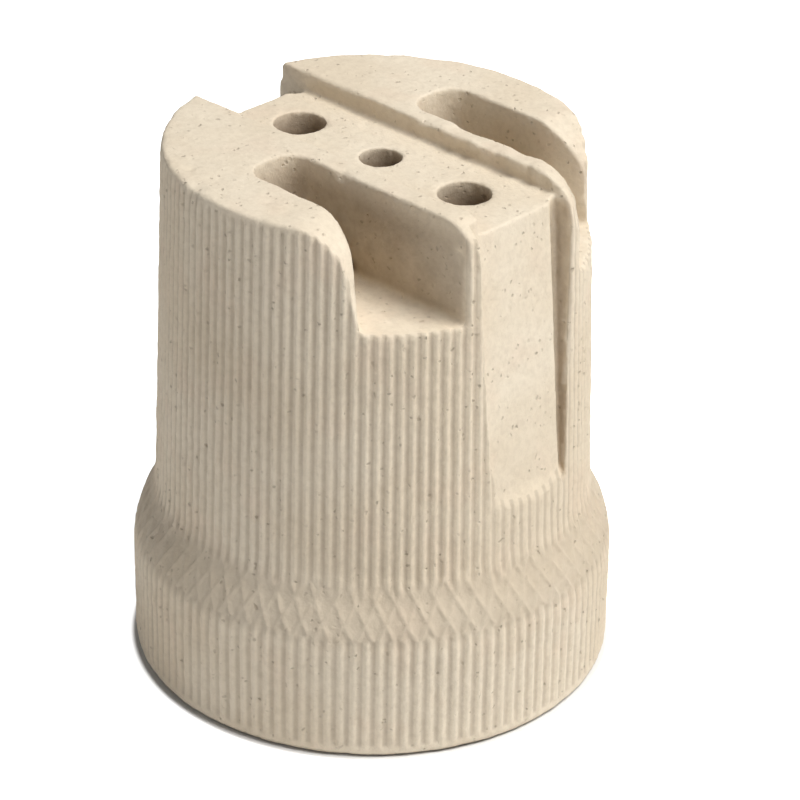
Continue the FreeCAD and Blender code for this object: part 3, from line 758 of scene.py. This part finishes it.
def foot_contact_shadow(m, z, out, cloud):
    """Share of painted contact shadow on the rim's lowest edge, with an uneven upper limit."""
    uneven = m.span(cloud, 0.3, 0.7, -0.0001, 0.0001)
    low = m.fade(m.math("ADD", z, uneven), 0.0001, 0.0007)
    return m.times(low, m.span(out, 0.0222, 0.0226))


def speckle(m, colour):
    """The colour with dark specks of irregular shape, and the height of their dents."""
    warp = m.add("ShaderNodeTexNoise")
    warp.inputs["Scale"].default_value = 900
    m.link(m.place, warp.inputs["Vector"])
    shift = m.add("ShaderNodeVectorMath", operation="MULTIPLY_ADD")
    m.link(warp.outputs["Color"], shift.inputs[0])
    shift.inputs[1].default_value = (0.0009, 0.0009, 0.0009)
    m.link(m.place, shift.inputs[2])
    dents = 0.0
    for scale, share, core, rim, strength in SPECKS:
        near, tint = m.spots(scale, shift.outputs[0])
        parts = m.add("ShaderNodeSeparateColor")
        m.link(tint, parts.inputs["Color"])
        chosen = m.math("GREATER_THAN", parts.outputs[0], 1 - share)
        spot = m.times(m.fade(near, core, rim), chosen)
        spot = m.times(spot, m.span(parts.outputs[1], 0.0, 1.0, 0.35, 1.0))
        colour = m.blend(m.times(spot, strength), colour, SPECK)
        dents = m.math("SUBTRACT", dents, spot)
    return colour, dents


def ceramic_material():
    """Unglazed fired clay: cream with a warm bloom, dark specks, pits, dust and painted shade in
    the valleys, a darker flare, and painted shade in the cavities, slots, holes and along the foot.
    """
    m = Nodes("Ceramic")
    cloud = m.noise(70, 3.0)
    blush = m.noise(190, 2.0)
    grain = m.noise(1500, 3.0, 0.65)
    colour = m.blend(m.span(cloud, 0.35, 0.65), CLAY, PALE_CLAY)
    colour = m.blend(m.span(blush, 0.5, 0.72, 0.0, 0.30), colour, BLOOM)
    colour = m.blend(m.span(grain, 0.35, 0.75, 0.0, 0.22), colour, GRAIN)

    split = m.add("ShaderNodeSeparateXYZ")
    m.link(m.place, split.inputs[0])
    x, y, z = split.outputs
    angle = m.math("ARCTAN2", y, x)
    out = m.distance(x, y)
    # Dust and painted shade in the rib valleys
    colour = m.blend(m.times(rib_dust_and_shade(m, z, out, angle), 0.38), colour, VALLEY_DUST_AND_SHADE)
    # A darker tone on the flare
    colour = m.blend(m.times(flare_darkening(m, z, out), 0.38), colour, FLARE_DARKER)
    # Painted shade in the cavities
    colour = m.blend(m.times(cavity_painted_shade(m, x, y, z), 0.9), colour, PAINTED_SHADE_CLAY)
    # Painted shade on the slot walls
    colour = m.blend(slot_painted_shade(m, y, z, out), colour, PAINTED_SHADE_CLAY)
    # Painted shade in the holes and the vent
    colour = m.blend(hole_painted_shade(m, x, y, z), colour, HOLE_SHADE_CLAY)
    # Painted contact shadow along the foot
    colour = m.blend(m.times(foot_contact_shadow(m, z, out, cloud), 0.8), colour, FOOT_SHADOW_CLAY)
    colour, dents = speckle(m, colour)

    m.link(colour, m.shader.inputs["Base Color"])
    m.link(m.span(grain, 0.3, 0.7, 0.66, 0.84), m.shader.inputs["Roughness"])
    socket(m.shader, "Specular IOR Level", "Specular").default_value = 0.3
    normal = m.bump(grain, 0.00009, 0.8)
    normal = m.bump(m.noise(620, 3.0, 0.6), 0.00016, 0.6, normal)
    normal = m.bump(dents, 0.00012, 0.8, normal)
    m.link(normal, m.shader.inputs["Normal"])
    return m.material


def metal_material(name, bright, dull, roughness, stretch):
    """Bare metal with fine tool marks, drawn out along one axis, and a little tarnish."""
    m = Nodes(name)
    mapping = m.add("ShaderNodeMapping")
    mapping.inputs["Scale"].default_value = stretch
    m.link(m.place, mapping.inputs["Vector"])
    marks = m.noise(2600, 2.0, 0.6, mapping.outputs[0])
    tarnish = m.noise(260, 4.0, 0.6)
    colour = m.blend(m.span(tarnish, 0.4, 0.75), bright, dull)
    m.link(colour, m.shader.inputs["Base Color"])
    m.shader.inputs["Metallic"].default_value = 1.0
    rough = m.math("ADD", m.span(marks, 0.3, 0.7, roughness - 0.06, roughness + 0.06),
                   m.span(tarnish, 0.4, 0.8, 0.0, 0.14))
    m.link(rough, m.shader.inputs["Roughness"])
    m.link(m.bump(marks, 0.000012, 0.5), m.shader.inputs["Normal"])
    return m.material


CLAY = (0.80, 0.69, 0.535)
PALE_CLAY = (0.86, 0.76, 0.61)
BLOOM = (0.84, 0.68, 0.53)
GRAIN = (0.52, 0.43, 0.32)
# Dust and painted shade for the rib valleys
VALLEY_DUST_AND_SHADE = (0.36, 0.28, 0.20)
# A darker tone for the flare
FLARE_DARKER = (0.42, 0.34, 0.25)
# Painted shade for the cavities and the slot walls
PAINTED_SHADE_CLAY = (0.27, 0.185, 0.115)
# Painted shade for the holes
HOLE_SHADE_CLAY = (0.24, 0.165, 0.10)
# Painted contact shadow for the foot
FOOT_SHADOW_CLAY = (0.22, 0.17, 0.11)
SPECK = (0.25, 0.18, 0.115)
# Layers of dark specks: how dense, what share of them shows, core and edge, and how dark
SPECKS = [
    (1700, 0.16, 0.12, 0.36, 0.36),
    (760, 0.07, 0.08, 0.20, 0.42),
    (260, 0.05, 0.05, 0.11, 0.70),
]

CERAMIC = ceramic_material()
NICKEL = metal_material("NickelPlate", (0.72, 0.69, 0.64), (0.50, 0.46, 0.40), 0.30, (1, 1, 0.15))
SPRING = metal_material("SpringBronze", (0.78, 0.58, 0.34), (0.55, 0.38, 0.22), 0.32, (0.2, 1, 1))
BRASS = metal_material("Brass", (0.80, 0.63, 0.33), (0.56, 0.41, 0.20), 0.30, (0.2, 1, 1))
STEEL = metal_material("ZincedSteel", (0.66, 0.66, 0.66), (0.48, 0.47, 0.45), 0.32, (1, 1, 0.3))

# ------------------------------------------------------------------ ceramic body

CERAMIC_CELL = ((0.17, 0.17, 0.30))
CERAMIC_TRIANGLES = 190000
CERAMIC_LOW = (-23.9, -23.9, -0.6)
CERAMIC_HIGH = (23.9, 23.9, 53.9)

points, quads = skin(ceramic, CERAMIC_LOW, CERAMIC_HIGH, CERAMIC_CELL)
body = mesh_piece("moulded_ceramic", points, quads, CERAMIC_TRIANGLES)
body.data.materials.append(CERAMIC)
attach(body, "holder")
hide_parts("ceramic_body")

# ------------------------------------------------------------------ metalwork

FINE = 0.08
SHELL_CELL = 0.14
SHELL_TRIANGLES = 150000


def metal(name, node, rider, solid, low, high, cell, finish, most=60000, moved=(0, 0, 0)):
    """One piece of metalwork in place of its CAD node, between two corners, then moved."""
    points, quads = skin(solid, low, high, (cell, cell, cell))
    piece = mesh_piece(name, points + np.array(moved, np.float32), quads, most)
    piece.data.materials.append(finish)
    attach(piece, rider)
    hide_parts(node)
    return piece


metal("rolled_shell", "screw_shell", "holder", screw_shell,
      (-14.2, -14.2, 13.9), (14.2, 14.2, 36.4), SHELL_CELL, NICKEL, SHELL_TRIANGLES)
leaf = metal("contact_spring", "centre_contact", "holder", contact_leaf,
             (-4.5, -13.5, 30.6), (6.5, 4.0, 36.4), FINE, SPRING)
metal("contact_rivet", "contact_button", "button", contact_rivet,
      (-2.7, -2.7, 29.5), (2.7, 2.7, 32.3), FINE * 0.8, BRASS)

# The far slot's pieces belong to the shell, and the near slot's to the centre contact
sides = [
    ("shell", "far", 1, FAR_SLOT, FAR_FIXING, FAR_CLAMP, ROOF - SHEET),
    ("contact", "near", -1, NEAR_SLOT, NEAR_FIXING, NEAR_CLAMP, ROOF - 0.5),
]
for owner, where, side, inner, fixing, clamp, seat in sides:
    walls = sorted((inner * side, (inner + SLOT_WIDTH) * side))
    low = (SLOT_END - 0.3, walls[0], SLOT_FLOOR - 0.3)
    high = (PLATE_REACH + 0.4, walls[1], PLATE_TOP + 0.3)
    metal(f"{where}_terminal_plate", f"{owner}_terminal", "holder",
          terminal_plate(side, inner, fixing, clamp), low, high, FINE, BRASS)
    metal(f"{where}_fixing_screw", f"{owner}_fixing_screw", "holder",
          screw(seat, 2.4, PLATE_TOP - 0.1 - seat, -1), (-2.8, -2.8, seat - 2.2),
          (2.8, 2.8, PLATE_TOP + 0.3), FINE, STEEL, moved=(*fixing, 0))
    metal(f"{where}_clamp_screw", f"{owner}_clamp_screw", f"{owner}_clamp",
          screw(PLATE_TOP + 0.8, 2.5, 4.9, 1), (-2.9, -2.9, PLATE_TOP - 4.5),
          (2.9, 2.9, PLATE_TOP + 3.0), FINE, STEEL, moved=(*clamp, 0))
    metal(f"{where}_clamp_washer", f"{owner}_clamp_washer", f"{owner}_clamp", washer,
          (-3.0, -3.0, PLATE_TOP - 0.3), (3.0, 3.0, PLATE_TOP + 1.1), FINE, STEEL,
          moved=(*clamp, 0))
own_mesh(leaf)

# ------------------------------------------------------------------ stage

def floor_material(name, colour, roughness):
    """A pale matt floor that glows where it is seen, except in a thin ring right under the rim,
    where the glow is left out to give a painted contact shadow.
    """
    m = Nodes(name)
    m.shader.inputs["Roughness"].default_value = roughness
    shade = m.noise(6, 2.0)
    light = tuple(min(1.0, c * 1.01) for c in colour)
    m.link(m.blend(m.span(shade, 0.3, 0.7), colour, light), m.shader.inputs["Base Color"])
    seen = m.add("ShaderNodeLightPath")
    rays = m.math("MAXIMUM", seen.outputs["Is Camera Ray"], seen.outputs["Is Glossy Ray"])
    rays = m.math("MAXIMUM", rays, seen.outputs["Is Transmission Ray"])
    split = m.add("ShaderNodeSeparateXYZ")
    m.link(m.place, split.inputs[0])
    out = m.distance(split.outputs[0], split.outputs[1])
    # The glow is left out in a thin ring by the rim, which gives a painted contact shadow
    glow_outside_shadow_ring = m.span(out, RIM_RADIUS * MM, (RIM_RADIUS + 0.6) * MM, 0.0, 0.93)
    m.link(m.times(rays, glow_outside_shadow_ring), m.shader.inputs["Emission Strength"])
    m.shader.inputs["Emission Color"].default_value = (1, 1, 1, 1)
    return m.material


def floor_piece():
    """A floor that sweeps up behind the object. Each row is a distance back and a height."""
    rows = [(-3.0, 0.0), (1.2, 0.0), (1.6, 0.05), (1.9, 0.2), (2.1, 0.5), (2.2, 1.0), (2.2, 3.5)]
    turn = Matrix.Rotation(math.radians(43.6), 3, "Z")
    points = []
    faces = []
    for k, (far, up) in enumerate(rows):
        points += [turn @ Vector((-4, far, up)), turn @ Vector((4, far, up))]
        if k:
            faces.append((2 * k - 2, 2 * k - 1, 2 * k + 1, 2 * k))
    mesh = bpy.data.meshes.new("floor")
    mesh.from_pydata(points, [], faces)
    mesh.shade_smooth()
    piece = bpy.data.objects.new("floor", mesh)
    bpy.context.scene.collection.objects.link(piece)
    mesh.materials.append(floor_material("PaleFloor", (0.92, 0.92, 0.92), 0.9))
    return piece


floor_piece()


def lamp(name, azimuth, elevation, distance, width, power, colour=(1, 1, 1)):
    """A soft square lamp aimed at the object. Azimuth 0 is on the -Y side and 90 on the +X side."""
    light = bpy.data.lights.new(name, "AREA")
    light.size = width
    light.energy = power
    light.color = colour
    a = math.radians(azimuth)
    e = math.radians(elevation)
    back = Vector((math.sin(a) * math.cos(e), -math.cos(a) * math.cos(e), math.sin(e)))
    piece = bpy.data.objects.new(name, light)
    piece.location = Vector((0, 0, 0.03)) + back * distance
    piece.rotation_mode = "QUATERNION"
    piece.rotation_quaternion = (-back).to_track_quat("-Z", "Y")
    bpy.context.scene.collection.objects.link(piece)


lamp("Key", azimuth=109, elevation=60, distance=0.6, width=0.3, power=3.95,
     colour=(1.0, 0.99, 0.97))
lamp("Fill", azimuth=-26, elevation=14, distance=0.8, width=0.35, power=0.75)

world = bpy.data.worlds.new("Studio")
bpy.context.scene.world = world
world.use_nodes = True
background = world.node_tree.nodes["Background"]
background.inputs["Color"].default_value = (1, 1, 1, 1)
background.inputs["Strength"].default_value = 0.08

# ------------------------------------------------------------------ camera

CAMERA_PLACE = (0.2022, -0.2086, 0.1881)
CAMERA_AIM = (-0.602, 0.632, -0.488)
CAMERA_ROLL = math.radians(0.937)
CAMERA_LENS = 155.1

camera = bpy.data.objects.new("Camera", bpy.data.cameras.new("Camera"))
bpy.context.scene.collection.objects.link(camera)
camera.data.sensor_width = 36
camera.data.lens = CAMERA_LENS
camera.data.clip_start = 0.01
camera.data.clip_end = 20
ahead = Vector(CAMERA_AIM).normalized()
level = ahead.cross(Vector((0, 0, 1))).normalized()
upright = level.cross(ahead)
right = level * math.cos(CAMERA_ROLL) + upright * math.sin(CAMERA_ROLL)
up = upright * math.cos(CAMERA_ROLL) - level * math.sin(CAMERA_ROLL)
turned = Matrix((right, up, -ahead)).transposed()
camera.matrix_world = Matrix.Translation(CAMERA_PLACE) @ turned.to_4x4()
bpy.context.scene.camera = camera
bpy.context.scene.view_settings.view_transform = "Standard"
